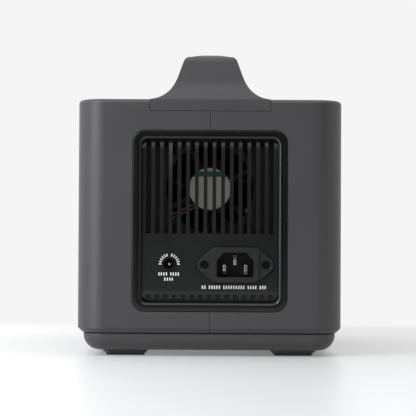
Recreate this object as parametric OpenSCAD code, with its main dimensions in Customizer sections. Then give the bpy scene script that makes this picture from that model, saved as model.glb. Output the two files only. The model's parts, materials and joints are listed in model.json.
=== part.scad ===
// Portable power station: a two-half housing on a shallow tray, with a fixed
// carrying handle. The -Y end holds the fan grille, the mains inlet and a DC
// input; the +Y end holds the display, the buttons and the outputs.
// Frame: origin on the floor under the centre of the body, +Z up, handle along Y.

/* [Output] */
// The node to draw, or all of them

/* [Housing] */
// Width of the body across X
body_w = 173; // [150:1:200]
// Depth of the body along Y
body_d = 280; // [240:1:320]
// Height of the body's flat top above the floor
body_top = 167.5; // [150:0.1:190]
// Height of the joint between the shells and the tray
tray_seam_z = 14.6; // [12:0.1:20]
// Radius of the vertical corners
corner_r = 18; // [10:0.5:25]
// Radius of the edge between the sides and the top
top_r = 2.5; // [1:0.1:5]
// Wall thickness of the shells and the tray
wall = 3; // [2:0.1:4]
// Gap at the joint between the left and right shells
seam_gap = 0.3; // [0.1:0.05:0.6]

/* [Tray and feet] */
// Width of the tray
tray_w = 165.6; // [140:0.1:190]
// Radius of the tray's lower edge
tray_r = 10.4; // [6:0.1:10.4]
// Height of the tray's underside
tray_z = 3.7; // [3:0.1:8]
// Width of a foot block across X
foot_w = 29.8; // [20:0.1:40]
// Length of a foot block along Y
foot_l = 34; // [20:1:60]
// Distance of the feet from the centre plane, across X
foot_x = 55.4; // [40:0.1:65]
// Distance of the feet from the centre, along Y
foot_y = 107; // [80:1:120]
// Height of the rubber pad that shows under a foot
pad_h = 1.5; // [1:0.1:4]

/* [Handle] */
// Height of the handle's crown
handle_top = 196.8; // [185:0.5:215]
// Half width of the handle's base panel
base_hw = 39.2; // [30:0.1:50]
// Depth of the base panel in the body's top
base_h = 7.6; // [5:0.1:10]
// Radius of the flared foot of the handle
flare_r = 19; // [10:0.5:24]
// Half length of the finger gap along Y
gap_hy = 94; // [70:1:110]
// Height of the top of the finger gap
gap_top = 183; // [178:0.5:190]
// Height of the scooped floor of the finger gap
gap_floor = 163.4; // [161:0.1:167]

/* [End bezels and panels] */
// Outer half width of a bezel
bez_hw = 50.5; // [45:0.1:60]
// Height of a bezel's lower edge
bez_z0 = 29.2; // [20:0.1:40]
// Height of a bezel's upper edge
bez_z1 = 147.3; // [130:0.1:155]
// Outer corner radius of a bezel
bez_r = 8.5; // [4:0.5:14]
// Width of the flat lip of a bezel
lip_w = 3; // [2:0.1:6]
// Half width of the panel inside a bezel
pan_hw = 44.4; // [38:0.1:52]
// Recess of the panel's face behind the end of the body
pan_in = 3.5; // [2:0.1:8]
// Extra recess at the panel's upper and lower edges
pan_slope = 2; // [1:0.1:5]
// Thickness of a panel
pan_t = 2.5; // [2:0.1:4]

/* [Grille] */
// Number of slots in the grille
slots = 15; // [9:2:21]
// Distance from one slot to the next
slot_pitch = 5.7; // [4:0.1:8]
// Width of a slot
slot_w = 3.3; // [2:0.1:4]
// Height of the slots' lower end
slot_z0 = 79.9; // [70:0.1:90]
// Height of the slots' upper end
slot_z1 = 140.4; // [120:0.1:145]

/* [Fan] */
// Height of the fan's axis
fan_z = 109.4; // [100:0.1:115]
// Side of the fan's square frame
fan_s = 60; // [40:10:80]
// Depth of the fan's frame
fan_t = 20; // [15:5:25]
// Radius of the air duct
fan_r = 28.5; // [18:0.5:38]
// Distance between the fan's screws
fan_pitch = 50; // [32:0.5:71.5]
// Radius of the hub and its label
hub_r = 14; // [8:0.5:18]
// Angle at which the wires leave the hub
wire_turn = 155; // [145:1:165]
// Distance of the wires from the fan's axis
wire_off = 6.1; // [0:0.1:7]
// Number of blades
blades = 7; // [5:1:11]
// Radial clearance of the shaft in its bearing
shaft_fit = 0.05; // [0.01:0.01:0.1]

/* [Mains inlet] */
// Position of the inlet across X
inlet_x = 16.7; // [-30:0.1:30]
// Height of the inlet's centre
inlet_z = 59.7; // [50:0.1:70]
// Distance between the inlet's screws
inlet_pitch = 40; // [40:0.1:40]
// Width of the cavity that takes the plug
cav_w = 24; // [24:0.1:24.6]
// Height of that cavity
cav_h = 16.2; // [16:0.1:16.6]
// Depth of that cavity
cav_d = 16.5; // [15:0.5:18]

/* [DC input] */
// Position of the jack across X
jack_x = -26.2; // [-40:0.1:-10]
// Height of the jack's centre
jack_z = 60.1; // [50:0.1:70]
// Radius of the jack's bore
jack_r = 3; // [2.5:0.05:4]

/* [Outputs] */
// Distance of the earthed socket from the centre plane
sock_x = -19.5; // [-25:0.5:-15]
// Height of the earthed socket's centre
sock_z = 69; // [60:1:80]
// Radius of the earthed socket's recess
sock_r = 19.6; // [19.5:0.1:20.5]
// Depth of that recess
sock_d = 17.5; // [17:0.5:18.5]
// Distance of the vehicle socket from the centre plane
car_x = 27; // [20:0.5:32]
// Height of the vehicle socket's centre
car_z = 56; // [48:1:64]
// Radius of the vehicle socket's bore
car_r = 10.5; // [10.4:0.05:10.9]
// Travel of the push buttons
travel = 0.8; // [0.4:0.1:1.5]

/* [Battery] */
// Radius of a cell
cell_r = 16; // [9:0.5:20]
// Length of a cell
cell_h = 70; // [60:1:90]
// Cells across X
cell_nx = 4; // [2:1:6]
// Cells along Y
cell_ny = 6; // [3:1:8]
// Distance between cell axes
cell_pitch = 33.2; // [32.5:0.1:36]

/* [Hidden] */
$fn = 48;

hw = body_w / 2;
hd = body_d / 2;
tray_in = hw - tray_w / 2;
chan_hw = base_hw + 0.3;
chan_z = body_top - base_h - 0.3;
bez_h = bez_z1 - bez_z0;
bez_zc = (bez_z0 + bez_z1) / 2;
pan_z0 = bez_z0 + lip_w + 3.2;
pan_z1 = bez_z1 - lip_w - 3.2;
flat_z0 = 42.6;
flat_z1 = 133.6;
face_y = hd - pan_in;
back_y = face_y - pan_t;
baffle_y = back_y - 3.6;
fan_y = baffle_y - 2;
mid_y = -6;
screw_x = 73;
screw_y = 78;
boss_z = 14;
btn_z = 101.5;
cell_z = 12;

dark_grey = [0.27, 0.27, 0.29];
near_black = [0.07, 0.07, 0.075];
black = [0.03, 0.03, 0.03];
steel = [0.75, 0.75, 0.77];
brass = [0.78, 0.62, 0.30];
white = [0.92, 0.92, 0.92];
copper = [0.75, 0.42, 0.22];
board_green = [0.08, 0.32, 0.16];

// ---- shapes that repeat ----

// A rectangle with round corners, centred
module rrect(w, h, r) {
    square([w - 2 * r, h], center = true);
    square([w, h - 2 * r], center = true);
    for (x = [-1, 1], y = [-1, 1])
        translate([x * (w / 2 - r), y * (h / 2 - r)])
            circle(r);
}

// The upper right quarter of a rectangle with one round corner
module edge_profile(w, h, r) {
    square([w - r, h]);
    square([w, h - r]);
    translate([w - r, h - r])
        intersection() {
            circle(r);
            square(r + 1);
        }
}

// A block with round vertical corners and a round edge round its top. It is
// built from pieces that meet on flat faces, from z = 0 to h.
module soft_block(w, d, h, r, e) {
    rotate([90, 0, 90])
        linear_extrude(w - 2 * r, center = true)
            union() {
                edge_profile(d / 2, h, e);
                mirror([1, 0])
                    edge_profile(d / 2, h, e);
            }
    for (s = [0, 1])
        mirror([s, 0, 0])
            translate([w / 2 - r, 0, 0])
                rotate([90, 0, 0])
                    linear_extrude(d - 2 * r, center = true)
                        edge_profile(r, h, e);
    for (sx = [0, 1], sy = [0, 1])
        mirror([sx, 0, 0])
            mirror([0, sy, 0])
                translate([w / 2 - r, d / 2 - r, 0])
                    rotate_extrude(angle = 90)
                        edge_profile(r, h, e);
}

// A cylinder along Y that starts at y0 and runs to y1
module rod_y(r, y0, y1) {
    translate([0, y0, 0])
        rotate([-90, 0, 0])
            cylinder(r = r, h = y1 - y0);
}

// Puts what is drawn at the +Y end on the -Y end, at the same X
module rear_end() {
    mirror([0, 1, 0])
        children();
}

// Extrudes an outline drawn in X and Z from y0 to y1
module plate_y(y0, y1) {
    translate([0, y1, 0])
        rotate([90, 0, 0])
            linear_extrude(y1 - y0)
                children();
}

// A pan-head screw with its head above z = 0 and its shank below
module pan_screw(shank_r, length, head_r, head_h) {
    translate([0, 0, -length])
        cylinder(r = shank_r, h = length);
    difference() {
        cylinder(r = head_r, h = head_h);
        for (a = [0, 90])
            translate([0, 0, head_h])
                rotate([0, 0, a])
                    cube([head_r * 1.2, head_r * 0.28, head_h * 1.1], center = true);
    }
}

// ---- housing ----

// The outside of both shells together, with a bevel down to the tray
module shell_outside() {
    translate([0, 0, tray_seam_z + tray_in])
        soft_block(body_w, body_d, body_top - tray_seam_z - tray_in, corner_r, top_r);
    translate([0, 0, tray_seam_z])
        hull() {
            linear_extrude(0.02)
                rrect(tray_w, body_d - 2 * tray_in, corner_r - tray_in, $fn = 64);
            translate([0, 0, tray_in - 0.5])
                linear_extrude(0.02)
                    rrect(body_w - 1, body_d - 1, corner_r - 0.5, $fn = 64);
        }
    translate([0, 0, tray_seam_z + tray_in - 0.49])
        linear_extrude(0.5)
            rrect(body_w - 0.6, body_d - 0.6, corner_r - 0.3);
}

// The space inside the shells, with the channel for the handle left solid
module shell_inside() {
    difference() {
        translate([0, 0, tray_seam_z - 1])
            linear_extrude(body_top - wall - tray_seam_z + 1)
                rrect(body_w - 2 * wall, body_d - 2 * wall, corner_r - wall);
        translate([-chan_hw - wall, -hd, chan_z - wall])
            cube([2 * (chan_hw + wall), body_d, base_h + wall + 1]);
    }
    translate([0, 0, tray_seam_z - 1])
        linear_extrude(tray_in + 1)
            rrect(tray_w - 2 * wall, body_d - 2 * tray_in - 2 * wall, corner_r - tray_in - wall);
}

// The hole in one end wall for a bezel
module bezel_hole() {
    translate([0, hd - wall - 1, bez_zc])
        rotate([-90, 0, 0])
            linear_extrude(wall + 2)
                rrect(2 * bez_hw + 0.4, bez_h + 0.4, bez_r + 0.2);
}

// Both shells as one hollow body, before it is cut in two
module shell_blank() {
    difference() {
        shell_outside();
        shell_inside();
        translate([-chan_hw, -hd - 1, chan_z])
            cube([2 * chan_hw, body_d + 2, base_h + 2]);
        bezel_hole();
        rear_end()
            bezel_hole();
        handle_screw_places()
            translate([0, 0, chan_z - wall - 1])
                cylinder(r = 2.1, h = wall + 2);
    }
}

// A screw post for the tray, joined to the side wall by a web
module tray_boss() {
    difference() {
        union() {
            translate([screw_x, screw_y, boss_z])
                cylinder(r = 4.5, h = 34);
            translate([screw_x, screw_y - 1.25, 24])
                cube([hw - wall - screw_x + 0.5, 2.5, 22]);
        }
        translate([screw_x, screw_y, 13])
            cylinder(r = 1.6, h = 26);
    }
}

// One half of the housing: side is 1 for the +X half and -1 for the -X half
module half_shell(side) {
    difference() {
        shell_blank();
        translate([side > 0 ? -hw - 1 : -seam_gap / 2, -hd - 1, 0])
            cube([hw + 1 + seam_gap / 2, body_d + 2, body_top + 2]);
    }
    for (s = [0, 1])
        mirror([side > 0 ? 0 : 1, 0, 0])
            mirror([0, s, 0])
                tray_boss();
}

module left_shell() {
    color(dark_grey) {
        half_shell(-1);
        // lips behind the joint between the shells
        for (s = [0, 1])
            mirror([0, s, 0]) {
                translate([-3, hd - wall - 1.4, 20])
                    cube([6, 1.4, 7]);
                translate([-3, hd - wall - 1.4, bez_z1 + 2])
                    cube([6, 1.4, 7]);
            }
    }
}

module right_shell() {
    color(dark_grey)
        half_shell(1);
}

module bottom_tray() {
    color(dark_grey)
        difference() {
            union() {
                difference() {
                    translate([0, 0, tray_seam_z])
                        mirror([0, 0, 1])
                            soft_block(tray_w, body_d - 2 * tray_in, tray_seam_z - tray_z,
                                       corner_r - tray_in, tray_r);
                    translate([0, 0, tray_seam_z + 0.01])
                        mirror([0, 0, 1])
                            soft_block(tray_w - 2 * wall, body_d - 2 * tray_in - 2 * wall,
                                       tray_seam_z - tray_z - wall + 0.01,
                                       corner_r - tray_in - wall, tray_r - wall);
                }
                at_feet()
                    foot_block();
                // posts under the shells' screw posts
                at_tray_screws()
                    translate([0, 0, tray_z + 1])
                        cylinder(r = 5.5, h = boss_z - 1.2 - tray_z);
            }
            at_feet()
                translate([0, 0, pad_h - 0.1])
                    linear_extrude(1.3)
                        rrect(25.1, 29.1, 3);
            at_tray_screws() {
                translate([0, 0, tray_z - 1])
                    cylinder(r = 1.8, h = 12);
                translate([0, 0, tray_z - 1])
                    cylinder(r = 3.3, h = 4.2);
            }
            // cooling slots in the floor, between the feet
            for (i = [-6:6])
                translate([0, i * 7, tray_z - 1])
                    linear_extrude(wall + 2)
                        rrect(36, 2.6, 1.2);
        }
}

// A foot block under the tray, wider at its root
module foot_block() {
    translate([0, 0, pad_h])
        linear_extrude(2)
            rrect(foot_w - 2.4, foot_l - 2.4, 4);
    translate([0, 0, pad_h + 1])
        linear_extrude(tray_z - pad_h)
            rrect(foot_w, foot_l, 5);
}

module at_feet() {
    for (x = [-1, 1], y = [-1, 1])
        translate([x * foot_x, y * foot_y, 0])
            children();
}

module at_tray_screws() {
    for (x = [-1, 1], y = [-1, 1])
        translate([x * screw_x, y * screw_y, 0])
            children();
}

module foot_pads() {
    color(black)
        at_feet()
            difference() {
                linear_extrude(pad_h + 1.1)
                    rrect(25, 29, 3);
                for (i = [-2:2])
                    translate([0, i * 5, -0.1])
                        linear_extrude(0.6)
                            square([19, 1.2], center = true);
            }
}

module tray_screws() {
    color(steel)
        at_tray_screws()
            translate([0, 0, tray_z + 3.2])
                mirror([0, 0, 1])
                    pan_screw(1.5, 22, 3, 2);
}

// ---- handle ----

// Points along an arc, from angle a0 to a1
function arc(c, r, a0, a1, n) =
    [for (i = [0:n]) let (a = a0 + (a1 - a0) * i / n) c + r * [cos(a), sin(a)]];

// One side of the handle seen from the end: a flare in two radii, a sloping side
// and a round shoulder that runs into the crown
function handle_side() =
    let (turn = 55, slope = 20, wide_r = 30, crown_r = 62, cr = 4.6,
         c1 = [base_hw + 1.1, body_top + flare_r],
         c2 = c1 + (wide_r - flare_r) * [sin(turn), cos(turn)],
         end = c2 - wide_r * [cos(slope), sin(slope)],
         kz = handle_top - 5.75,
         kx = end[0] - (kz - end[1]) * tan(slope) - cr / cos(slope),
         top = atan2(kz - handle_top + crown_r, kx))
    concat([[base_hw, body_top - base_h]],
           arc(c1, flare_r, 266.7, 270 - turn, 16),
           arc(c2, wide_r, 270 - turn - 2.5, 180 + slope, 6),
           arc([kx, kz], cr, slope, top, 10),
           arc([0, handle_top - crown_r], crown_r, top + 1.4, 90, 6));

module handle_front() {
    side = handle_side();
    polygon(concat(side, [for (i = [len(side) - 2:-1:0]) [-side[i][0], side[i][1]]]));
}

// What is cut from one end of the handle in the side view: the post turns back
// softly from the end face, flares up, leans a little and rounds to the crown
module post_cut() {
    lean = 4;
    turn = 20;
    low_r = 8;
    mid_r = 40;
    top_r2 = 5;
    c1 = [hd - low_r, body_top - 1];
    c2 = c1 + (low_r + mid_r) * [cos(turn), sin(turn)];
    p2 = c2 - mid_r * [cos(lean), sin(lean)];
    pz = handle_top - top_r2 + top_r2 * sin(lean);
    c3 = [p2[0] - (pz - p2[1]) * tan(lean), pz] - top_r2 * [cos(lean), sin(lean)];
    polygon(concat(
        [[hd + 1, c1[1]]],
        arc(c1, low_r, 0, turn - 2.5, 7),
        arc(c2, mid_r, 180 + turn, 180 + lean, 10),
        arc(c3, top_r2, lean, 90, 12),
        [[c3[0], handle_top + 9], [hd + 1, handle_top + 9]]));
}

module handle_screw_places() {
    for (x = [-1, 1], y = [-1, 1])
        translate([x * 24, y * (gap_hy + 18), 0])
            children();
}

module handle() {
    color(dark_grey)
        difference() {
            rotate([90, 0, 0])
                linear_extrude(body_d, center = true)
                    handle_front();
            // finger gap, with its floor scooped into the base
            rotate([90, 0, 90])
                linear_extrude(2 * base_hw + 2, center = true)
                    translate([0, (gap_top + gap_floor) / 2])
                        rrect(2 * gap_hy, gap_top - gap_floor, 8);
            for (s = [0, 1])
                mirror([0, s, 0])
                    rotate([90, 0, 90])
                        linear_extrude(2 * base_hw + 2, center = true)
                            post_cut();
            // pocket for the soft insert on the underside of the grip
            translate([0, 0, gap_top - 0.01])
                linear_extrude(1.5)
                    rrect(22.2, 2 * gap_hy - 33.8, 7);
            handle_screw_places()
                translate([0, 0, chan_z])
                    cylinder(r = 1.5, h = 9);
        }
}

module handle_grip() {
    color(black)
        difference() {
            translate([0, 0, gap_top - 0.3])
                linear_extrude(1.7)
                    rrect(22, 2 * gap_hy - 34, 7);
            for (i = [-11:11])
                translate([0, i * 6, gap_top - 0.3])
                    cube([16, 1.6, 0.8], center = true);
        }
}

module handle_screws() {
    color(steel)
        handle_screw_places()
            translate([0, 0, chan_z - wall])
                mirror([0, 0, 1])
                    pan_screw(1.45, 10.5, 3, 2);
}

// ---- what both ends share ----

// The outline of a bezel or its opening, inset from the outer edge
module bezel_outline(inset, r) {
    translate([0, bez_zc])
        rrect(2 * (bez_hw - inset), bez_h - 2 * inset, r);
}

// A bezel: a flat lip, a fine groove, a shoulder that drops to the panel, and a
// flange behind the wall
module bezel() {
    difference() {
        union() {
            plate_y(hd - 9, hd)
                bezel_outline(0, bez_r);
            // flange that the two shells close round
            plate_y(hd - wall - 2.2, hd - wall - 0.2)
                bezel_outline(-1.8, bez_r + 1.8);
        }
        plate_y(hd - 10, hd + 1)
            bezel_outline(lip_w + 3, 4);
        hull() {
            plate_y(hd, hd + 0.1)
                bezel_outline(lip_w + 1.4, 4.6, $fn = 32);
            plate_y(hd - 2.6, hd - 2.5)
                bezel_outline(lip_w + 3, 4, $fn = 32);
        }
        difference() {
            plate_y(hd - 0.8, hd + 1)
                bezel_outline(lip_w, bez_r - lip_w);
            plate_y(hd - 1, hd + 2)
                bezel_outline(lip_w + 0.5, bez_r - lip_w - 0.5);
        }
    }
}

// A panel: a flat field whose upper and lower edges slope back
module panel_blank() {
    intersection() {
        rotate([90, 0, 90])
            linear_extrude(2 * pan_hw, center = true)
                polygon([[face_y - pan_slope, pan_z0], [face_y, flat_z0],
                         [face_y, flat_z1], [face_y - pan_slope, pan_z1],
                         [back_y - pan_slope, pan_z1], [back_y, flat_z1 - 0.6],
                         [back_y, flat_z0 + 0.6], [back_y - pan_slope, pan_z0]]);
        plate_y(back_y - pan_slope - 1, face_y + 1)
            translate([0, (pan_z0 + pan_z1) / 2])
                rrect(2 * pan_hw, pan_z1 - pan_z0, 4);
    }
}

// Runs through a panel's thickness at any height
module through_panel() {
    plate_y(back_y - pan_slope - 1, face_y + 1)
        children();
}

// A printed bar on a panel's face, from x0 to x1 at height z
module bar(x0, x1, z, h) {
    translate([x0, face_y, z])
        cube([x1 - x0, 0.15, h]);
}

// ---- rear end: grille, fan, inlet and DC input ----

module rear_bezel() {
    color(near_black)
        rear_end()
            bezel();
}

module rear_panel() {
    color(black)
        rear_end()
            difference() {
                union() {
                    panel_blank();
                    // posts that carry the baffle plate
                    for (x = [-1, 1], z = [82, 131])
                        translate([x * 42.8, 0, z])
                            rod_y(1.4, baffle_y, back_y + 0.5);
                }
                for (i = [0:slots - 1]) {
                    x = (i - (slots - 1) / 2) * slot_pitch - slot_w / 2;
                    translate([x, back_y - 6, slot_z0])
                        cube([slot_w, 10, slot_z1 - slot_z0]);
                    // a shallow notch under each slot
                    translate([x, face_y - 2.4, flat_z0 - 5.4])
                        cube([slot_w, 4, 3]);
                }
                through_panel()
                    translate([inlet_x, inlet_z])
                        rrect(28, 20.4, 2);
                // seat for the inlet's flange
                translate([inlet_x, 0, inlet_z])
                    plate_y(face_y - 0.8, face_y + 1)
                        inlet_flange(0.5);
                for (s = [-1, 1])
                    translate([inlet_x + s * inlet_pitch / 2, 0, inlet_z])
                        rod_y(1.6, back_y - 1, face_y + 1);
                translate([jack_x, 0, jack_z])
                    rod_y(4.2, back_y - 1, face_y + 1);
            }
}

// Width of a printed tick with the gap after it, and of the space between groups
tick = 1.62;
tick_space = 1.3;

// Where group i of a row of ticks starts
function group_x(groups, i) =
    i == 0 ? 0 : group_x(groups, i - 1) + groups[i - 1] * tick + tick_space;

// A row of plain ticks in groups, centred on x
module tick_row(x, z, h, groups) {
    last = len(groups) - 1;
    total = group_x(groups, last) + groups[last] * tick;
    for (g = [0:last], i = [0:groups[g] - 1]) {
        x0 = x - total / 2 + group_x(groups, g) + i * tick;
        bar(x0, x0 + 0.75, z, h);
    }
}

// Plain ticks in place of printing
module rear_marks() {
    color(white)
        rear_end() {
            // an arc of ticks over the jack
            for (i = [-6:6])
                if (abs(i) != 0)
                    translate([jack_x, face_y, jack_z])
                        rotate([0, i * 15, 0])
                            translate([-0.32, 0, 5.1])
                                cube([0.64, 0.15, 1.8]);
            tick_row(jack_x, 52.6, 2, [4, 4]);
            tick_row(jack_x, 49.2, 2, [4]);
            tick_row(inlet_x - 0.4, 44, 2.2, [2, 5, 9, 4, 3]);
        }
}

module at_fan_screws() {
    for (x = [-1, 1], z = [-1, 1])
        translate([x * fan_pitch / 2, 0, fan_z + z * fan_pitch / 2])
            children();
}

// The notch that takes the fan's wires past the frame
module wire_notch(y0, y1) {
    plate_y(y0, y1)
        translate([0, fan_z])
            rotate(-wire_turn)
                translate([27, wire_off - 2.1])
                    square([4.4, 4.2]);
}

module baffle_plate() {
    color(black)
        rear_end()
            difference() {
                plate_y(fan_y, baffle_y)
                    difference() {
                        translate([0, 109.5])
                            rrect(88, 62, 2);
                        translate([0, fan_z])
                            circle(fan_r);
                    }
                at_fan_screws()
                    rod_y(1.7, fan_y - 1, baffle_y + 1);
                wire_notch(fan_y - 1, baffle_y + 1);
            }
}

module fan_frame() {
    color(black)
        rear_end() {
            difference() {
                plate_y(fan_y - fan_t, fan_y)
                    translate([0, fan_z])
                        rrect(fan_s, fan_s, 4);
                translate([0, 0, fan_z])
                    rod_y(fan_r, fan_y - fan_t - 1, fan_y + 1);
                at_fan_screws()
                    rod_y(1.5, fan_y - fan_t - 1, fan_y + 1);
                wire_notch(fan_y - fan_t - 1, fan_y + 1);
            }
            difference() {
                union() {
                    translate([0, 0, fan_z])
                        rod_y(hub_r + 0.5, fan_y - 2.5, fan_y - 0.5);
                    for (a = [0:90:270])
                        translate([0, fan_y - 3, fan_z])
                            rotate([0, wire_turn + a, 0])
                                translate([hub_r - 1, 0, -1.5])
                                    cube([fan_r - hub_r + 1.6, 2.2, 3]);
                    translate([0, 0, fan_z])
                        rod_y(4.5, fan_y - 15.4, fan_y - 2);
                }
                translate([0, 0, fan_z])
                    rod_y(3.2, fan_y - 16, fan_y - 3.4);
                wire_notch(fan_y - fan_t - 1, fan_y + 1);
            }
        }
}

module fan_bearing() {
    color(brass)
        rear_end()
            translate([0, 0, fan_z])
                difference() {
                    rod_y(3.15, fan_y - 15.4, fan_y - 4.4);
                    rod_y(1.5 + shaft_fit, fan_y - 16, fan_y - 4);
                }
}

module fan_coils() {
    color(copper)
        rear_end()
            translate([0, 0, fan_z])
                intersection() {
                    difference() {
                        rod_y(11.4, fan_y - 14, fan_y - 6);
                        rod_y(4.55, fan_y - 15, fan_y - 5);
                    }
                    union() {
                        for (a = [0, 90])
                            translate([0, fan_y - 10, 0])
                                rotate([0, a, 0])
                                    cube([26, 12, 7], center = true);
                    }
                }
}

// The band that crosses the label, as an outline
module band_outline() {
    translate([-hub_r, fan_z + hub_r - 6])
        square([2 * hub_r, 3.6]);
}

module hub_label() {
    color([0.62, 0.60, 0.55])
        rear_end()
            plate_y(fan_y - 0.5, fan_y - 0.2)
                difference() {
                    translate([0, fan_z])
                        circle(hub_r - 0.3);
                    band_outline();
                }
}

module hub_band() {
    color([0.25, 0.50, 0.30])
        rear_end()
            plate_y(fan_y - 0.5, fan_y - 0.2)
                intersection() {
                    translate([0, fan_z])
                        circle(hub_r - 0.3);
                    band_outline();
                }
}

// One fan wire: over the label's edge, along the strut, back through the notch
module fan_wire(side) {
    r = 0.8;
    y1 = fan_y + 0.7;
    y0 = fan_y - fan_t - 1;
    rear_end()
        translate([0, 0, fan_z])
            rotate([0, wire_turn, 0])
                translate([0, 0, wire_off + side * 1.1]) {
                    translate([12.4, y1, 0])
                        rotate([0, 90, 0])
                            cylinder(r = r, h = 18);
                    translate([30.4, y1, 0])
                        sphere(r);
                    translate([30.4, 0, 0])
                        rod_y(r, y0, y1);
                }
}

module fan_wire_red() {
    color([0.7, 0.08, 0.06])
        fan_wire(-1);
}

module fan_wire_black() {
    color(black)
        fan_wire(1);
}

module fan_screws() {
    color(steel)
        rear_end()
            at_fan_screws()
                translate([0, baffle_y, 0])
                    rotate([-90, 0, 0])
                        pan_screw(1.45, 16, 2.8, 1.8);
}

module fan_rotor() {
    cup_y0 = fan_y - fan_t + 0.6;
    cup_y1 = fan_y - 4.4;
    color(black)
        rear_end()
            translate([0, 0, fan_z]) {
                difference() {
                    rod_y(hub_r + 0.6, cup_y0, cup_y1);
                    rod_y(hub_r - 1.2, cup_y0 + 1.6, cup_y1 + 1);
                }
                rod_y(1.5, cup_y0 + 1, fan_y - 4.5);
                intersection() {
                    union() {
                        for (i = [0:blades - 1])
                            rotate([0, i * 360 / blades, 0])
                                translate([0, (cup_y0 + cup_y1) / 2, 0])
                                    rotate([38, 0, 0])
                                        translate([hub_r - 0.6, -10, -0.7])
                                            cube([20, 20, 1.4]);
                    }
                    difference() {
                        rod_y(fan_r - 0.7, cup_y0 + 0.6, cup_y1 - 0.3);
                        rod_y(hub_r, cup_y0, cup_y1 + 1);
                    }
                }
            }
}

// ---- mains inlet ----

// The inlet's flange: a block with round ears, whose edges meet the ears' curves
module inlet_flange(grow = 0) {
    bx = 14.6;
    bz = 11.4 + grow;
    ear = 5 + grow;
    px = inlet_pitch / 2;
    d = norm([bx - px, bz]);
    a = atan2(bz, bx - px) - acos(ear / d);
    tx = px + ear * cos(a);
    tz = ear * sin(a);
    polygon([[bx, bz], [tx, tz], [px, 0], [tx, -tz], [bx, -bz],
             [-bx, -bz], [-tx, -tz], [-px, 0], [-tx, tz], [-bx, bz]]);
    for (s = [-1, 1])
        translate([s * px, 0])
            circle(ear);
}

// A rectangle with bevelled upper corners and bevelled lower corners
module bevelled(w, h, top, low) {
    x = w / 2;
    z = h / 2;
    polygon([[x, z - top], [x - top, z], [top - x, z], [-x, z - top],
             [-x, low - z], [low - x, -z], [x - low, -z], [x, low - z]]);
}

// The three blades' places: across, and up from the inlet's centre
blade_at = [[-7, -2], [7, -2], [0, 2]];

module inlet_place() {
    rear_end()
        translate([inlet_x, 0, inlet_z])
            children();
}

module inlet_body() {
    rim_y = hd - 0.2;
    floor_y = rim_y - cav_d;
    color([0.2, 0.2, 0.21])
        inlet_place()
            difference() {
                union() {
                    plate_y(face_y - 0.8, hd - 1.6)
                        inlet_flange();
                    plate_y(face_y, rim_y)
                        bevelled(30.6, 22.8, 3, 3);
                    plate_y(floor_y - 2.4, face_y)
                        rrect(27.6, 20, 2);
                }
                plate_y(floor_y, rim_y + 1)
                    bevelled(cav_w, cav_h, 4.9, 1);
                for (b = blade_at)
                    translate([b[0] - 1, floor_y - 3, b[1] - 2])
                        cube([2, 4, 4]);
                for (s = [-1, 1])
                    translate([s * inlet_pitch / 2, 0, 0]) {
                        rod_y(1.6, face_y - 1, hd);
                        rod_y(2.9, hd - 3, hd);
                    }
            }
}

module inlet_blades() {
    floor_y = hd - 0.2 - cav_d;
    color(steel)
        inlet_place()
            for (b = blade_at)
                translate([b[0], 0, b[1]]) {
                    translate([-1, floor_y - 2.4, -2])
                        cube([2, cav_d - 1.2, 4]);
                    translate([-0.4, floor_y - 11, -2.4])
                        cube([0.8, 8.6, 4.8]);
                }
}

module inlet_keys() {
    floor_y = hd - 0.2 - cav_d;
    color([0.62, 0.50, 0.40])
        inlet_place()
            for (b = blade_at)
                translate([b[0] - 1.2, floor_y, b[1] + (b[1] > 0 ? 3.3 : -3.3) - 1.2])
                    cube([2.4, 2, 2.4]);
}

module inlet_screws() {
    color([0.1, 0.1, 0.1])
        inlet_place()
            for (s = [-1, 1])
                translate([s * inlet_pitch / 2, hd - 3, 0])
                    rotate([-90, 0, 0])
                        pan_screw(1.5, 7, 2.3, 1.2);
}

// ---- DC input ----

module jack_place() {
    rear_end()
        translate([jack_x, 0, jack_z])
            children();
}

module dc_jack_body() {
    color(black)
        jack_place()
            difference() {
                union() {
                    rod_y(6, back_y - 16, back_y);
                    rod_y(jack_r + 0.5, back_y - 1, face_y - 0.3);
                }
                rod_y(jack_r, back_y - 9, face_y + 1);
                rod_y(1, back_y - 17, back_y);
                difference() {
                    rod_y(4.1, back_y - 4, back_y + 1);
                    rod_y(jack_r + 0.5, back_y - 5, back_y + 2);
                }
            }
}

module dc_jack_collar() {
    color(steel)
        jack_place()
            difference() {
                rod_y(4.1, back_y - 4, face_y + 0.4);
                rod_y(jack_r + 0.5, back_y - 5, face_y + 1);
            }
}

module dc_jack_pin() {
    color(steel)
        jack_place()
            rod_y(1, back_y - 19, face_y - 2.2);
}

// ---- front end: display, buttons and outputs ----

module front_bezel() {
    color(near_black)
        bezel();
}

button_at = [["power", 4], ["ac", sock_x], ["dc", 33]];
usb_x = [16.5, 35.5];
dc_out_at = [[6.8, 47.5], [8.4, 60]];
win_w = 58;
win_h = 21;
win_z = 121.5;

module front_panel() {
    color(black)
        difference() {
            panel_blank();
            through_panel()
                translate([0, win_z])
                    rrect(win_w, win_h, 2);
            for (b = button_at)
                translate([b[1], 0, btn_z])
                    rod_y(4.8, back_y - 1, face_y + 1);
            translate([sock_x, 0, sock_z])
                rod_y(sock_r + 2.9, back_y - 1, face_y + 1);
            translate([car_x, 0, car_z])
                rod_y(car_r + 1.3, back_y - 1, face_y + 1);
            for (x = usb_x) {
                through_panel()
                    translate([x, 88.5])
                        square([13.8, 6.4], center = true);
                through_panel()
                    translate([x, 78.5])
                        rrect(9.3, 3.6, 1.75);
            }
            for (p = dc_out_at)
                translate([p[0], 0, p[1]])
                    rod_y(3.9, back_y - 1, face_y + 1);
        }
}

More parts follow.
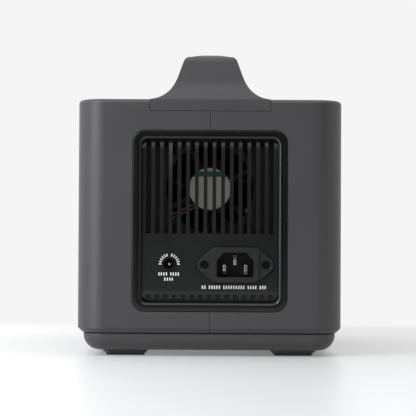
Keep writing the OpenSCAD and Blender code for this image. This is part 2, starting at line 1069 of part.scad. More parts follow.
// Plain bars in place of printing
module front_marks() {
    color(white) {
        bar(-3, 11, 108.4, 0.8);
        for (i = [0:2])
            bar(sock_x - 5 + i * 3.6, sock_x - 2.4 + i * 3.6, 108.4, 0.8);
        bar(29, 37, 108.4, 0.8);
        for (x = usb_x) {
            bar(x - 3, x + 3, 93.4, 0.8);
            bar(x - 2, x + 2, 82, 0.8);
        }
    }
}

module display_window() {
    color([0.02, 0.02, 0.03])
        plate_y(back_y + 0.1, face_y - 0.1)
            translate([0, win_z])
                rrect(win_w - 0.2, win_h - 0.2, 1.9);
}

module display_module() {
    color([0.05, 0.12, 0.2])
        difference() {
            plate_y(back_y - 4, back_y)
                translate([0, win_z])
                    rrect(win_w + 4, win_h + 1.6, 1);
            // lit field behind the window
            plate_y(back_y - 0.6, back_y + 1)
                translate([0, win_z])
                    square([win_w - 8, win_h - 5], center = true);
        }
}

module socket_place() {
    translate([sock_x, 0, sock_z])
        children();
}

module socket_body() {
    mouth_y = face_y + 1.5;
    floor_y = mouth_y - sock_d;
    color(near_black)
        socket_place()
            difference() {
                union() {
                    rod_y(sock_r + 4.2, face_y, mouth_y);
                    rod_y(sock_r + 2.8, floor_y - 4, face_y);
                    rod_y(sock_r - 1, floor_y - 17, floor_y - 3);
                }
                rod_y(sock_r, floor_y, mouth_y + 1);
                for (s = [-1, 1])
                    translate([s * 9.5, 0, 0])
                        rod_y(3.2, floor_y - 18, floor_y + 1);
                // slots in the wall for the earth clips
                for (s = [-1, 1])
                    translate([-2.6, floor_y, s * (sock_r + 0.4) - 1])
                        cube([5.2, sock_d - 3.9, 2]);
            }
}

module socket_contacts() {
    floor_y = face_y + 1.5 - sock_d;
    color(brass)
        socket_place()
            for (s = [-1, 1])
                translate([s * 9.5, 0, 0])
                    difference() {
                        rod_y(3.2, floor_y - 17, floor_y - 0.4);
                        rod_y(2.45, floor_y - 15, floor_y);
                    }
}

module socket_earth_clips() {
    floor_y = face_y + 1.5 - sock_d;
    color(steel)
        socket_place()
            for (s = [-1, 1])
                translate([-2.5, floor_y, s * (sock_r + 0.6) - 0.4])
                    cube([5, sock_d - 4, 0.8]);
}

// The hinge of the cap: its height above the socket's axis, and its Y
cap_hz = 15.6;
cap_hy = face_y + 2.2;
cap_r = 1.4;
ring_y = face_y + 0.7;

module car_place() {
    translate([car_x, 0, car_z])
        children();
}

module car_socket_ring() {
    color(black)
        car_place()
            difference() {
                union() {
                    rod_y(14, face_y, ring_y);
                    translate([-7.2, face_y, 10])
                        cube([14.4, ring_y - face_y, cap_hz - 8.6]);
                    for (s = [-1, 1])
                        translate([s > 0 ? 4.9 : -7.2, 0, cap_hz]) {
                            translate([0, cap_hy, 0])
                                rotate([0, 90, 0])
                                    cylinder(r = cap_r, h = 2.3);
                            translate([0, face_y, -cap_r])
                                cube([2.3, cap_hy - face_y, 2 * cap_r]);
                        }
                }
                rod_y(car_r, face_y - 1, face_y + 5);
                translate([-8, cap_hy, cap_hz])
                    rotate([0, 90, 0])
                        cylinder(r = 0.7, h = 16);
            }
}

module car_socket_shell() {
    color(steel)
        car_place()
            difference() {
                rod_y(car_r + 1.2, face_y - 36, face_y);
                rod_y(car_r, face_y - 34, face_y + 1);
                rod_y(3.2, face_y - 37, face_y - 33);
            }
}

module car_socket_contact() {
    color(brass)
        car_place() {
            rod_y(3.1, face_y - 36, face_y - 34);
            rod_y(1.5, face_y - 40, face_y - 35);
        }
}

module car_cap() {
    color(black)
        car_place() {
            difference() {
                union() {
                    rod_y(13.4, ring_y + 0.1, hd - 0.1);
                    translate([-4, ring_y + 0.1, -16.4])
                        cube([8, hd - 0.2 - ring_y, 6]);
                }
                rod_y(car_r + 0.2, ring_y, ring_y + 0.9);
                // clear of the hinge
                translate([-8, ring_y - 1, cap_hz - 2.4])
                    cube([16, 8, 4]);
            }
            difference() {
                union() {
                    translate([-4.6, cap_hy, cap_hz])
                        rotate([0, 90, 0])
                            cylinder(r = cap_r, h = 9.2);
                    translate([-4.6, ring_y + 0.3, cap_hz - 4])
                        cube([9.2, hd - 0.4 - ring_y, 4]);
                }
                translate([-5, cap_hy, cap_hz])
                    rotate([0, 90, 0])
                        cylinder(r = 0.75, h = 10);
            }
        }
}

module car_cap_pin() {
    color(steel)
        car_place()
            translate([-7.2, cap_hy, cap_hz])
                rotate([0, 90, 0])
                    cylinder(r = 0.7, h = 14.4);
}

module usb_shells() {
    color(steel)
        for (x = usb_x) {
            plate_y(face_y - 16, face_y - 0.2)
                translate([x, 88.5])
                    difference() {
                        square([13.6, 6.2], center = true);
                        square([12.6, 5.2], center = true);
                    }
            plate_y(face_y - 10, face_y - 0.2)
                translate([x, 78.5])
                    difference() {
                        rrect(9.1, 3.4, 1.65);
                        rrect(8.3, 2.6, 1.25);
                    }
        }
}

module usb_tongues() {
    color(white)
        for (x = usb_x) {
            plate_y(face_y - 16, face_y - 2)
                translate([x - 5, 88.7])
                    square([10, 1.7]);
            plate_y(face_y - 10, face_y - 1)
                translate([x, 78.5])
                    square([6.6, 0.7], center = true);
        }
}

module dc_out_jacks() {
    color(black)
        for (p = dc_out_at)
            translate([p[0], 0, p[1]])
                difference() {
                    union() {
                        rod_y(3.8, face_y - 14, face_y);
                        rod_y(4.4, face_y, face_y + 0.5);
                    }
                    rod_y(2.8, face_y - 10, face_y + 1);
                    rod_y(1.05, face_y - 15, face_y - 9);
                }
}

module dc_out_pins() {
    color(steel)
        for (p = dc_out_at)
            translate([p[0], 0, p[1]])
                rod_y(1.05, face_y - 16, face_y - 2);
}

// One push button, with a flange behind the panel
module push_button(x) {
    translate([x, 0, btn_z]) {
        rod_y(4.5, back_y - 3, face_y + 0.9);
        rod_y(5.6, back_y - 3, back_y - 1.6);
    }
}

module power_button() {
    color([0.85, 0.45, 0.1])
        push_button(button_at[0][1]);
}

module ac_button() {
    color([0.25, 0.25, 0.26])
        push_button(button_at[1][1]);
}

module dc_button() {
    color([0.25, 0.25, 0.26])
        push_button(button_at[2][1]);
}

module control_board() {
    y0 = back_y - 7.5;
    color(board_green) {
        plate_y(y0, y0 + 1.6)
            translate([0, 117])
                rrect(84, 42, 1);
        // tact switches behind the buttons
        for (b = button_at)
            translate([b[1] - 3, y0 + 1.6, btn_z - 3])
                cube([6, 1.9, 6]);
    }
}

// ---- battery and electronics ----

module at_cells() {
    for (i = [0:cell_nx - 1], j = [0:cell_ny - 1])
        translate([(i - (cell_nx - 1) / 2) * cell_pitch,
                   mid_y + (j - (cell_ny - 1) / 2) * cell_pitch, 0])
            children();
}

module cells() {
    color([0.15, 0.35, 0.6])
        at_cells()
            translate([0, 0, cell_z])
                cylinder(r = cell_r, h = cell_h);
}

// A tray of rings with a raised border, from z0 away from the cells
module cell_holder() {
    w = (cell_nx - 1) * cell_pitch + 2 * cell_r + 2.8;
    l = (cell_ny - 1) * cell_pitch + 2 * cell_r + 2.8;
    difference() {
        translate([-w / 2, mid_y - l / 2, tray_z + wall])
            cube([w, l, 10]);
        translate([2 - w / 2, mid_y - l / 2 + 2, tray_z + wall - 1])
            cube([w - 4, l - 4, cell_z - tray_z - wall + 1]);
        at_cells()
            translate([0, 0, cell_z - 1])
                cylinder(r = cell_r + 0.1, h = 12);
    }
}

module cell_holders() {
    color([0.12, 0.12, 0.12]) {
        cell_holder();
        translate([0, 0, 2 * cell_z + cell_h])
            mirror([0, 0, 1])
                cell_holder();
    }
}

module bus_bars() {
    color(steel)
        for (j = [0:cell_ny - 1], z = [cell_z - 0.6, cell_z + cell_h])
            translate([-(cell_nx - 1) / 2 * cell_pitch - 8,
                       mid_y + (j - (cell_ny - 1) / 2) * cell_pitch - 5, z])
                cube([(cell_nx - 1) * cell_pitch + 16, 10, 0.6]);
}

bms_z = 2 * cell_z + cell_h - tray_z - wall;
inv_z = bms_z + 11;

module at_standoffs() {
    for (x = [-1, 1], y = [-70, 58])
        translate([x * 60, y, 0])
            children();
}

module bms_board() {
    color(board_green) {
        translate([-66, -84, bms_z])
            cube([132, 156, 1.6]);
        for (i = [-3:3])
            translate([i * 15 - 5, 20, bms_z + 1.6])
                cube([10, 12, 3]);
        translate([-20, -50, bms_z + 1.6])
            cube([18, 18, 2]);
    }
}

module inverter_board() {
    color(board_green)
        difference() {
            translate([-68, -92, inv_z])
                cube([136, 172, 1.6]);
            at_standoffs()
                translate([0, 0, inv_z - 1])
                    cylinder(r = 1.6, h = 4);
        }
}

module standoffs() {
    color(brass)
        at_standoffs()
            difference() {
                translate([0, 0, bms_z + 1.6])
                    cylinder(r = 3, h = inv_z - bms_z - 1.6);
                translate([0, 0, inv_z - 8])
                    cylinder(r = 1.5, h = 9);
            }
}

module board_screws() {
    color(steel)
        at_standoffs()
            translate([0, 0, inv_z + 1.6])
                pan_screw(1.45, 7, 2.8, 2);
}

// Two finned heat sinks that stand along the board
module heat_sinks() {
    color([0.7, 0.7, 0.72])
        for (s = [0, 1])
            mirror([s, 0, 0])
                translate([38, -60, inv_z + 1.6]) {
                    cube([4, 110, 42]);
                    for (i = [0:7])
                        translate([3, 0, 3 + i * 5])
                            cube([14, 110, 1.6]);
                }
}

module transformer_core() {
    color([0.16, 0.16, 0.17])
        translate([0, -34, inv_z + 1.6])
            difference() {
                translate([-24, -20, 0])
                    cube([48, 40, 44]);
                for (s = [-1, 1])
                    translate([s * 13.5 - 6, -21, 8])
                        cube([12, 42, 28]);
            }
}

module transformer_winding() {
    color(copper)
        translate([0, -34, inv_z + 1.6 + 8.5])
            difference() {
                translate([-19, -25, 0])
                    cube([38, 50, 27]);
                translate([-7.6, -20.1, -1])
                    cube([15.2, 40.2, 29]);
            }
}

module capacitors() {
    color([0.1, 0.1, 0.25])
        for (x = [-18, 0, 18], y = [16, 38])
            translate([x, y, inv_z + 1.6])
                cylinder(r = 8, h = 32);
}

left_shell();
right_shell();
bottom_tray();
foot_pads();
tray_screws();
handle();
handle_grip();
handle_screws();
rear_bezel();
rear_panel();
rear_marks();
baffle_plate();
fan_frame();
fan_coils();
fan_bearing();
hub_label();
hub_band();
fan_wire_red();
fan_wire_black();
fan_screws();
fan_rotor();
inlet_body();
inlet_blades();
inlet_keys();
inlet_screws();
dc_jack_body();
dc_jack_collar();
dc_jack_pin();
front_bezel();
front_panel();
front_marks();
display_window();
display_module();
socket_body();
socket_contacts();
socket_earth_clips();
car_socket_ring();
car_socket_shell();
car_socket_contact();
car_cap();
car_cap_pin();
usb_shells();
usb_tongues();
dc_out_jacks();
dc_out_pins();
power_button();
ac_button();
dc_button();
control_board();
cells();
cell_holders();
bus_bars();
bms_board();
inverter_board();
heat_sinks();
transformer_core();
transformer_winding();
capacitors();
standoffs();
board_screws();
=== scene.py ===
"""Looks for the portable power station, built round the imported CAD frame.

Metres throughout, in the CAD frame: the input end faces -Y, +Z is up. Each CAD node keeps
its shape and place; visible ones are shown by a copy with rounded edges, so that they
catch the light as moulded parts do.
"""

import json
import math

import bmesh
import bpy
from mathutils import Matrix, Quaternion, Vector

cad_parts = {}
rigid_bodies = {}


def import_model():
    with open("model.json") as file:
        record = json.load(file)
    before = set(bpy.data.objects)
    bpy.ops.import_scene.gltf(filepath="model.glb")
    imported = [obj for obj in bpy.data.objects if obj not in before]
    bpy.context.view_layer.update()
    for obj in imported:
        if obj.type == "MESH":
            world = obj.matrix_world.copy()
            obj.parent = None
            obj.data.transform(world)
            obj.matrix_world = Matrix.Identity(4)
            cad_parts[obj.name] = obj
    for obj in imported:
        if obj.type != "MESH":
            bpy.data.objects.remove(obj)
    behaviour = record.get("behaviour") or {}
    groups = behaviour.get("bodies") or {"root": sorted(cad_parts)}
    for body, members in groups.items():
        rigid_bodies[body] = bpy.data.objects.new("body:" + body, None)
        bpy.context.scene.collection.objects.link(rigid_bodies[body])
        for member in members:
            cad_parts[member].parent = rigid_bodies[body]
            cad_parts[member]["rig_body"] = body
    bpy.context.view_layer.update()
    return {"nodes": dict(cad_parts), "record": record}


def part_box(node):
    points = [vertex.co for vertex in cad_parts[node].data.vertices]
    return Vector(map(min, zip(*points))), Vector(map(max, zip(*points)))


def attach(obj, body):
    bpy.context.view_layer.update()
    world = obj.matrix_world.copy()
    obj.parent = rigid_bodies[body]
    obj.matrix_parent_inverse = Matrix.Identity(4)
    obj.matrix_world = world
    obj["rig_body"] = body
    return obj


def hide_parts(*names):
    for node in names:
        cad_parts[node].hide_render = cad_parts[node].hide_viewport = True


MM = 0.001

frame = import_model()
NODES = frame["nodes"]


# ---- material helpers ----


class Graph:
    """A material's node tree with short ways to add and link nodes."""

    def __init__(self, name):
        self.material = bpy.data.materials.new(name)
        self.material.use_nodes = True
        self.tree = self.material.node_tree
        self.tree.nodes.clear()
        self.out = self.add("ShaderNodeOutputMaterial")
        self.shader = self.add("ShaderNodeBsdfPrincipled")
        self.link(self.shader.outputs[0], self.out.inputs["Surface"])
        self.place = self.add("ShaderNodeTexCoord").outputs["Object"]

    def add(self, kind, **settings):
        node = self.tree.nodes.new(kind)
        for key, value in settings.items():
            setattr(node, key, value)
        return node

    def link(self, a, b):
        self.tree.links.new(a, b)

    def noise(self, size_mm, detail=2.0, rough=0.5, place=None):
        """Noise whose grains are about size_mm across."""
        n = self.add("ShaderNodeTexNoise")
        n.inputs["Scale"].default_value = 1.0 / (size_mm * MM)
        n.inputs["Detail"].default_value = detail
        n.inputs["Roughness"].default_value = rough
        self.link(place or self.place, n.inputs["Vector"])
        return n.outputs["Fac"]

    def spread(self, value, low, high, at=(0.3, 0.7)):
        """Maps a value in the range `at` onto low..high."""
        m = self.add("ShaderNodeMapRange")
        m.inputs["From Min"].default_value = at[0]
        m.inputs["From Max"].default_value = at[1]
        m.inputs["To Min"].default_value = low
        m.inputs["To Max"].default_value = high
        self.link(value, m.inputs["Value"])
        return m.outputs["Result"]

    def mix(self, fac, a, b):
        """A colour between a and b; each is a colour tuple or an output."""
        m = self.add("ShaderNodeMix", data_type="RGBA")
        self.link(fac, m.inputs["Factor"])
        for socket, value in (("A", a), ("B", b)):
            target = [s for s in m.inputs if s.name == socket and s.type == "RGBA"][0]
            if isinstance(value, tuple):
                target.default_value = (*value, 1.0)
            else:
                self.link(value, target)
        return [s for s in m.outputs if s.type == "RGBA"][0]

    def bump(self, height, depth_mm, strength=1.0):
        b = self.add("ShaderNodeBump")
        b.inputs["Distance"].default_value = depth_mm * MM
        b.inputs["Strength"].default_value = strength
        self.link(height, b.inputs["Height"])
        self.link(b.outputs["Normal"], self.shader.inputs["Normal"])

    def set(self, **values):
        for key, value in values.items():
            self.shader.inputs[key.replace("_", " ")].default_value = value


def shade(c, k):
    return tuple(min(1.0, x * k) for x in c)


def plastic(name, colour, rough, grain=0.35, depth=0.02, mottle=0.10, specular=0.5):
    """Moulded plastic: spark-eroded grain, faint mottling and handling marks."""
    g = Graph(name)
    broad = g.noise(38, 3)
    fine = g.noise(grain, 2, 0.6)
    tone = g.mix(g.spread(broad, 0, 1), shade(colour, 1 - mottle), shade(colour, 1 + mottle))
    speck = g.mix(g.spread(fine, 0, 1, (0.35, 0.65)), shade(colour, 1 - mottle), tone)
    g.link(speck, g.shader.inputs["Base Color"])
    g.link(g.spread(broad, rough - 0.02, rough + 0.02), g.shader.inputs["Roughness"])
    g.bump(fine, depth)
    g.set(Specular_IOR_Level=specular)
    return g.material


def paint_depth_shade(material, rim_y, start_mm=1.5, end_mm=7.0, left=0.3):
    """Paints shade into a material's colour: darker with the depth behind a rim of the input end.
    """
    tree = material.node_tree
    shader = next(n for n in tree.nodes if n.type == "BSDF_PRINCIPLED")
    base = shader.inputs["Base Color"].links[0].from_socket
    place = next(n for n in tree.nodes if n.type == "TEX_COORD").outputs["Object"]
    split = tree.nodes.new("ShaderNodeSeparateXYZ")
    tree.links.new(place, split.inputs[0])
    # painted shade: the colour falls to `left` of itself between start_mm and end_mm behind the
    # rim
    fade = tree.nodes.new("ShaderNodeMapRange")
    fade.inputs["From Min"].default_value = rim_y + start_mm * MM
    fade.inputs["From Max"].default_value = rim_y + end_mm * MM
    fade.inputs["To Min"].default_value = 1.0
    fade.inputs["To Max"].default_value = left
    tree.links.new(split.outputs["Y"], fade.inputs["Value"])
    scale = tree.nodes.new("ShaderNodeVectorMath")
    scale.operation = "SCALE"
    tree.links.new(base, scale.inputs[0])
    tree.links.new(fade.outputs["Result"], scale.inputs["Scale"])
    tree.links.new(scale.outputs[0], shader.inputs["Base Color"])
    return material


def inlet_plastic():
    """The inlet's moulding, with painted shade darkening it inside the cavity that takes the
    plug.
    """
    material = plastic("inlet_plastic", (0.013, 0.013, 0.0135), 0.42, 0.2, 0.008, 0.1, 0.35)
    return paint_depth_shade(material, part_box("inlet_body")[0].y)


def fan_plastic():
    """The baffle's and the fan's moulding, with painted shade darkening it behind the baffle."""
    material = plastic("fan_plastic", (0.0085, 0.008, 0.007), 0.45, 0.3, 0.01, 0.1, 0.2)
    return paint_depth_shade(material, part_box("baffle_plate")[0].y, 1.0, 2.5, 0.3)


def metal(name, colour, rough, brushed=0.4, depth=0.004):
    """Plated or machined metal with fine brushing and slight tarnish."""
    g = Graph(name)
    m = g.add("ShaderNodeMapping")
    m.inputs["Scale"].default_value = (1.0, 0.06, 1.0)
    g.link(g.place, m.inputs["Vector"])
    lines = g.noise(brushed, 3, 0.6, m.outputs[0])
    broad = g.noise(9, 3)
    tone = g.mix(g.spread(broad, 0, 1), shade(colour, 0.86), shade(colour, 1.05))
    g.link(tone, g.shader.inputs["Base Color"])
    g.link(g.spread(lines, rough - 0.07, rough + 0.1), g.shader.inputs["Roughness"])
    g.bump(lines, depth)
    g.set(Metallic=1.0)
    return g.material


def rubber(name, colour, rough=0.8):
    """Rubber or vinyl with a dusty bloom."""
    g = Graph(name)
    dust = g.noise(6, 5, 0.7)
    fine = g.noise(0.25, 2)
    g.link(g.mix(g.spread(dust, 0, 1), colour, shade(colour, 1.7)), g.shader.inputs["Base Color"])
    g.link(g.spread(dust, rough - 0.08, rough + 0.08), g.shader.inputs["Roughness"])
    g.bump(fine, 0.015)
    g.set(Specular_IOR_Level=0.35)
    return g.material


# ---- the materials, one for each slot of the record ----


def make_materials():
    return {
        "housing_plastic": plastic(
            "housing_plastic", (0.0495, 0.0468, 0.0488), 0.40, 0.3, 0.012, 0.03, 0.45
        ),
        "bezel_plastic": plastic(
            "bezel_plastic", (0.006, 0.006, 0.0062), 0.22, 0.25, 0.003, 0.1, 0.45
        ),
        "panel_plastic": plastic(
            "panel_plastic", (0.0095, 0.0095, 0.0093), 0.28, 0.25, 0.006, 0.1, 0.4
        ),
        "inlet_plastic": inlet_plastic(),
        "fan_plastic": fan_plastic(),
        "rubber": rubber("rubber", (0.028, 0.028, 0.028)),
        "ink_white": plastic("ink_white", (0.75, 0.75, 0.75), 0.6, 0.15, 0.008, 0.05, 0.3),
        "plated_steel": metal("plated_steel", (0.62, 0.62, 0.63), 0.3),
        "black_steel": metal("black_steel", (0.022, 0.022, 0.022), 0.24),
        "tin_plate": metal("tin_plate", (0.85, 0.85, 0.84), 0.2),
        "brass": metal("brass", (0.78, 0.56, 0.24), 0.3),
        "phenolic": plastic("phenolic", (0.42, 0.29, 0.20), 0.6, 0.2, 0.01, 0.15, 0.4),
        "label_paper": plastic("label_paper", (0.30, 0.28, 0.23), 0.45, 0.4, 0.004, 0.15, 0.5),
        "label_green": plastic("label_green", (0.004, 0.085, 0.03), 0.45, 0.4, 0.004, 0.15, 0.2),
        "wire_red": rubber("wire_red", (0.08, 0.003, 0.003), 0.6),
        "wire_black": rubber("wire_black", (0.012, 0.012, 0.012), 0.5),
        "window_plastic": plastic(
            "window_plastic", (0.004, 0.004, 0.005), 0.08, 3.0, 0.001, 0.1, 0.5
        ),
        "display_module": plastic("display_module", (0.02, 0.05, 0.08), 0.4),
        "button_orange": plastic("button_orange", (0.75, 0.2, 0.02), 0.35, 0.3, 0.008, 0.06),
        "button_grey": plastic("button_grey", (0.09, 0.09, 0.095), 0.35, 0.3, 0.008, 0.06),
        "usb_tongue": plastic("usb_tongue", (0.02, 0.08, 0.35), 0.35),
        "board": plastic("board", (0.015, 0.10, 0.04), 0.3, 1.2, 0.01, 0.2),
        "cell_wrap": plastic("cell_wrap", (0.012, 0.045, 0.11), 0.3, 5.0, 0.01, 0.12),
        "holder_plastic": plastic("holder_plastic", (0.02, 0.02, 0.02), 0.55),
        "aluminium": metal("aluminium", (0.75, 0.75, 0.76), 0.35),
        "ferrite": plastic("ferrite", (0.03, 0.03, 0.033), 0.6, 0.5, 0.02),
        "winding": metal("winding", (0.60, 0.25, 0.09), 0.35),
        "taped_winding": rubber("taped_winding", (0.03, 0.024, 0.016), 0.45),
        "cap_sleeve": plastic("cap_sleeve", (0.02, 0.02, 0.09), 0.3),
    }


def dress(materials):
    """Gives every CAD node its slot's material."""
    slots = {s["node"]: s["material_slot"] for s in frame["record"]["subparts"]}
    for name, obj in NODES.items():
        obj.data.materials.clear()
        obj.data.materials.append(materials[slots[name]])
    return slots


# ---- copies of CAD nodes with rounded edges ----


# Points closer than this are one; faces within the flat angle are one; an edge sharper
# than the edge angle is rounded. A weight over 50 lets large faces lead the shading.
MERGE_MM = 0.002
FLAT_ANGLE = math.radians(0.5)
EDGE_ANGLE = math.radians(28)
LARGE_FACE_WEIGHT = 60


def rounded(node, width_mm, segments=2):
    """A copy of a CAD node whose sharp edges are rounded, in the node's place."""
    source = NODES[node]
    mesh = source.data.copy()
    bm = bmesh.new()
    bm.from_mesh(mesh)
    bmesh.ops.remove_doubles(bm, verts=bm.verts, dist=MERGE_MM * MM)
    bmesh.ops.dissolve_limit(
        bm,
        angle_limit=FLAT_ANGLE,
        verts=bm.verts,
        edges=bm.edges,
        use_dissolve_boundaries=False,
    )
    for f in bm.faces:
        f.smooth = True
    bm.to_mesh(mesh)
    bm.free()
    obj = bpy.data.objects.new(f"{node}_finished", mesh)
    bpy.context.scene.collection.objects.link(obj)
    bevel = obj.modifiers.new("edges", "BEVEL")
    bevel.width = width_mm * MM
    bevel.segments = segments
    bevel.limit_method = "ANGLE"
    bevel.angle_limit = EDGE_ANGLE
    bevel.use_clamp_overlap = True
    bevel.harden_normals = False
    smooth = obj.modifiers.new("normals", "WEIGHTED_NORMAL")
    smooth.keep_sharp = True
    smooth.weight = LARGE_FACE_WEIGHT
    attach(obj, source["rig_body"])
    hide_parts(node)
    return obj


# Edge radius in mm of each node that is shown with rounded edges
EDGES = {
    "left_shell": 0.5, "right_shell": 0.5, "bottom_tray": 0.5, "handle": 0.8,
    "rear_panel": 0.35, "front_panel": 0.35,
    "inlet_body": 0.35, "inlet_blades": 0.6, "inlet_keys": 0.2, "inlet_screws": 0.15,
    "baffle_plate": 0.2, "fan_frame": 0.3, "fan_rotor": 0.2, "foot_pads": 0.4,
    "dc_jack_collar": 0.15, "dc_jack_body": 0.15, "dc_jack_pin": 0.3,
    "socket_body": 0.6, "car_socket_ring": 0.25, "car_cap": 0.5,
    "power_button": 0.5, "ac_button": 0.5, "dc_button": 0.5, "handle_grip": 0.3,
    "fan_screws": 0.2, "tray_screws": 0.2, "dc_out_jacks": 0.2, "usb_shells": 0.1,
}


# ---- bezels, swept round their openings ----


# Millimetres: the flange round a bezel, its outer corner, its flat lip, the groove
# inside the lip, the opening's inset and the angle over which an edge stays sharp
FLANGE = 1.8
OUTER_RADIUS = 8.5
LIP = 3.0
GROOVE = 0.5
OPENING = 6.0
SHARP_ANGLE = math.radians(35)


def corner_arc(centre, radius, start, end, steps=5):
    """Points of a rounding in a bezel's section: (inset, depth) in mm."""
    angles = [math.radians(start + (end - start) * i / steps) for i in range(steps + 1)]
    return [(centre[0] + radius * math.cos(a), centre[1] + radius * math.sin(a)) for a in angles]


def bezel_section():
    """The bezel's section as (inset from the outer edge, depth behind its face)."""
    flange = [(OPENING, 9.0), (0.0, 9.0), (0.0, 5.2), (-FLANGE, 5.2), (-FLANGE, 3.2), (0.0, 3.2)]
    far = LIP + GROOVE
    groove = [(LIP - 0.15, 0.0), (LIP, 0.15), (LIP, 0.8), (far, 0.8), (far, 0.15)]
    shoulder = corner_arc((OPENING - 2.2, 2.2), 2.2, 264, 360, 10)
    edge = corner_arc((0.6, 0.6), 0.6, 180, 270)
    return flange + edge + groove + shoulder + [(OPENING, 6.5)]


def corner_radius(inset):
    """Corner radius at an inset: the outer corner's, drawn in, then easing to 4 mm."""
    if inset < LIP:
        return OUTER_RADIUS - inset
    return OUTER_RADIUS - LIP - (inset - LIP) * 0.5


def make_bezel(node, side, slots, steps=9):
    """A smooth ring of the bezel's section; side is -1 at the input end, 1 at the other."""
    lo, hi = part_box(node)
    flange = FLANGE * MM
    half_w = (hi.x - lo.x) / 2 - flange
    half_h = (hi.z - lo.z) / 2 - flange
    centre = (lo + hi) / 2
    face = hi.y if side > 0 else lo.y
    bm = bmesh.new()
    loops = []
    for inset, depth in bezel_section():
        r = corner_radius(inset) * MM
        w = half_w - inset * MM - r
        h = half_h - inset * MM - r
        loop = []
        for quarter, (sx, sz) in enumerate(((1, 1), (-1, 1), (-1, -1), (1, -1))):
            for i in range(steps + 1):
                a = math.radians(90 * quarter + 90 * i / steps)
                x = centre.x + sx * w + r * math.cos(a)
                z = centre.z + sz * h + r * math.sin(a)
                loop.append(bm.verts.new((x, face - side * depth * MM, z)))
        loops.append(loop)
    for a, b in zip(loops, loops[1:] + loops[:1]):
        n = len(a)
        for i in range(n):
            bm.faces.new((a[i], a[(i + 1) % n], b[(i + 1) % n], b[i]))
    bmesh.ops.recalc_face_normals(bm, faces=bm.faces)
    for f in bm.faces:
        f.smooth = True
    mesh = bpy.data.meshes.new(f"{node}_finished")
    bm.to_mesh(mesh)
    bm.free()
    mesh.set_sharp_from_angle(angle=SHARP_ANGLE)
    obj = bpy.data.objects.new(f"{node}_finished", mesh)
    bpy.context.scene.collection.objects.link(obj)
    mesh.materials.append(materials[slots[node]])
    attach(obj, NODES[node]["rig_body"])
    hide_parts(node)
    return obj


# ---- camera, floor and light ----

# Camera: its distance from the input end, its height, its aim's height, how far it stands
# to the left, the width it sees there and its small tilt
CAMERA_DISTANCE = 1.17
CAMERA_HEIGHT = 0.070
AIM_HEIGHT = 0.0966
CAMERA_LEFT = 0.0012
WIDTH_SEEN = 0.2702
CAMERA_TILT = math.radians(0.3)
# Brightness of the studio: before the input end, from left to right, overhead and behind;
# the dim part before the input end leans a little to the right
FRONT_LEVEL = 0.02
SIDE_LEVELS = (1.1, 0.85)
TOP_LEVEL = 1.7
FRONT_LEAN = -0.1
BACKGROUND = 0.915
TABLE_TONE = (0.45, 0.45, 0.45)
# Half the table's side, its shift backwards, and where it fades into the background
# behind the object and in front of it
TABLE_HALF = 1.5
TABLE_SHIFT = 0.8
TABLE_BACK = (0.30, 0.38)
TABLE_FRONT = (-0.69, -0.60)
# Painted light: a glow painted into the table top, at its left and its right, that lifts its
# shade
TABLE_PAINTED_GLOW = (0.33, 0.18)


def make_camera():
    """Level view of the input end, from far enough away to keep it nearly flat."""
    end_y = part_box("left_shell")[0].y
    cam = bpy.data.cameras.new("camera")
    cam.lens = cam.sensor_width * CAMERA_DISTANCE / WIDTH_SEEN
    obj = bpy.data.objects.new("camera", cam)
    bpy.context.scene.collection.objects.link(obj)
    eye = Vector((-CAMERA_LEFT, end_y - CAMERA_DISTANCE, CAMERA_HEIGHT))
    aim = Vector((-CAMERA_LEFT, end_y, AIM_HEIGHT))
    obj.location = eye
    obj.rotation_mode = "QUATERNION"
    tilt = Quaternion((0, 0, 1), CAMERA_TILT)
    obj.rotation_quaternion = (aim - eye).to_track_quat("-Z", "Y") @ tilt
    bpy.context.scene.camera = obj
    return obj


def area(name, place, target, size, power, colour):
    light = bpy.data.lights.new(name, "AREA")
    light.shape = "RECTANGLE"
    light.size, light.size_y = size
    light.energy = power
    light.color = colour
    obj = bpy.data.objects.new(name, light)
    bpy.context.scene.collection.objects.link(obj)
    obj.location = place
    obj.rotation_mode = "QUATERNION"
    obj.rotation_quaternion = (Vector(target) - Vector(place)).to_track_quat("-Z", "Y")
    return obj


def make_floor():
    """A white, slightly glossy table top, with painted light glowing in it."""
    mesh = bpy.data.meshes.new("table_top")
    bm = bmesh.new()
    bmesh.ops.create_grid(bm, x_segments=8, y_segments=8, size=TABLE_HALF)
    bmesh.ops.translate(bm, verts=bm.verts, vec=(0, TABLE_SHIFT, 0))
    bm.to_mesh(mesh)
    bm.free()
    obj = bpy.data.objects.new("table_top", mesh)
    bpy.context.scene.collection.objects.link(obj)
    # a hair below the feet, so that their soles stay in sight from below
    obj.location = (0, 0, -0.1 * MM)
    g = Graph("table_white")
    haze = g.noise(60, 3)
    tone = g.mix(g.spread(haze, 0, 1), TABLE_TONE, shade(TABLE_TONE, 1.006))
    g.link(tone, g.shader.inputs["Base Color"])
    g.link(g.spread(haze, 0.37, 0.38), g.shader.inputs["Roughness"])
    g.set(Specular_IOR_Level=0.25)
    split = g.add("ShaderNodeSeparateXYZ")
    g.link(g.place, split.inputs[0])
    # painted light: the table top glows, stronger at its left, to lift its shade
    painted_glow = g.spread(split.outputs["X"], *TABLE_PAINTED_GLOW, (-0.20, 0.05))
    g.link(painted_glow, g.shader.inputs["Emission Strength"])
    g.set(Emission_Color=(1.0, 1.0, 1.0, 1.0))
    # behind and in front, the table runs out into the even background
    glow = g.add("ShaderNodeEmission")
    glow.inputs["Strength"].default_value = BACKGROUND
    blend = g.add("ShaderNodeMixShader")
    fade = g.add("ShaderNodeMath", operation="MAXIMUM")
    g.link(g.spread(split.outputs["Y"], 0, 1, TABLE_BACK), fade.inputs[0])
    g.link(g.spread(split.outputs["Y"], 1, 0, TABLE_FRONT), fade.inputs[1])
    g.link(fade.outputs[0], blend.inputs["Fac"])
    g.link(g.shader.outputs[0], blend.inputs[1])
    g.link(glow.outputs[0], blend.inputs[2])
    g.link(blend.outputs[0], g.out.inputs["Surface"])
    obj.data.materials.append(g.material)
    return obj


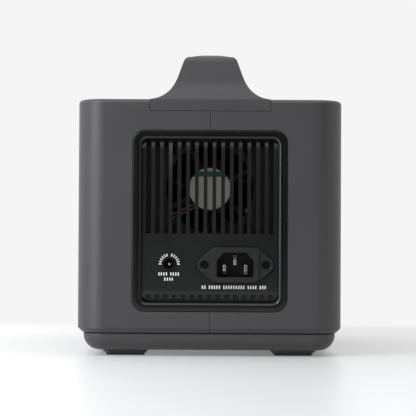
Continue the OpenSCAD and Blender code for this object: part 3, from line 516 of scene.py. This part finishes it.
def make_sky():
    """A white studio: bright above and at the sides, dim before the input end.

    The picture's own background is an even pale tone, whatever lights the object.
    """
    world = bpy.data.worlds.new("studio")
    world.use_nodes = True
    tree = world.node_tree
    sky = tree.nodes["Background"]

    def node(kind, **settings):
        n = tree.nodes.new(kind)
        for key, value in settings.items():
            setattr(n, key, value)
        return n

    def ramp(value, at, to):
        m = node("ShaderNodeMapRange", interpolation_type="SMOOTHSTEP")
        for key, v in zip(("From Min", "From Max", "To Min", "To Max"), (*at, *to)):
            m.inputs[key].default_value = v
        tree.links.new(value, m.inputs["Value"])
        return m.outputs["Result"]

    def math_node(operation, a, b=None):
        m = node("ShaderNodeMath", operation=operation)
        tree.links.new(a, m.inputs[0])
        if b is not None:
            tree.links.new(b, m.inputs[1])
        return m.outputs[0]

    split = node("ShaderNodeSeparateXYZ")
    tree.links.new(node("ShaderNodeTexCoord").outputs["Generated"], split.inputs[0])
    lean = math_node("MULTIPLY_ADD", split.outputs["X"])
    lean.node.inputs[1].default_value = FRONT_LEAN
    tree.links.new(split.outputs["Y"], lean.node.inputs[2])
    front = ramp(lean, (-0.80, -0.35), (FRONT_LEVEL, 1.0))
    sides = ramp(split.outputs["X"], (-0.9, 0.9), SIDE_LEVELS)
    top = ramp(split.outputs["Z"], (0.50, 0.92), (0.0, TOP_LEVEL))
    level = math_node("MAXIMUM", math_node("MULTIPLY", front, sides), top)
    pick = node("ShaderNodeMix", data_type="FLOAT")
    tree.links.new(node("ShaderNodeLightPath").outputs["Is Camera Ray"], pick.inputs["Factor"])
    floats = [k for k in pick.inputs if k.type == "VALUE" and k.name in "AB"]
    tree.links.new(level, floats[0])
    floats[1].default_value = BACKGROUND
    tree.links.new([k for k in pick.outputs if k.type == "VALUE"][0], sky.inputs["Strength"])
    sky.inputs["Color"].default_value = (1.0, 1.0, 1.0, 1.0)
    bpy.context.scene.world = world


def make_light():
    make_sky()
    area("key", (-0.46, -0.56, 0.30), (0, -0.12, 0.09), (0.40, 0.6), 2.8, (0.80, 0.91, 1.0))
    area("corner", (-0.55, -0.75, 0.62), (0, -0.14, 0.09), (0.12, 0.12), 2.4, (0.95, 0.97, 1.0))
    area("overhead", (0, -1.30, 0.80), (0, -0.14, 0.12), (0.9, 0.35), 2.9, (1.0, 1.0, 1.0))
    bpy.context.scene.view_settings.view_transform = "Standard"


materials = make_materials()
slots = dress(materials)
for node, width in EDGES.items():
    rounded(node, width)
make_bezel("rear_bezel", -1, slots)
make_bezel("front_bezel", 1, slots)
make_floor()
make_camera()
make_light()
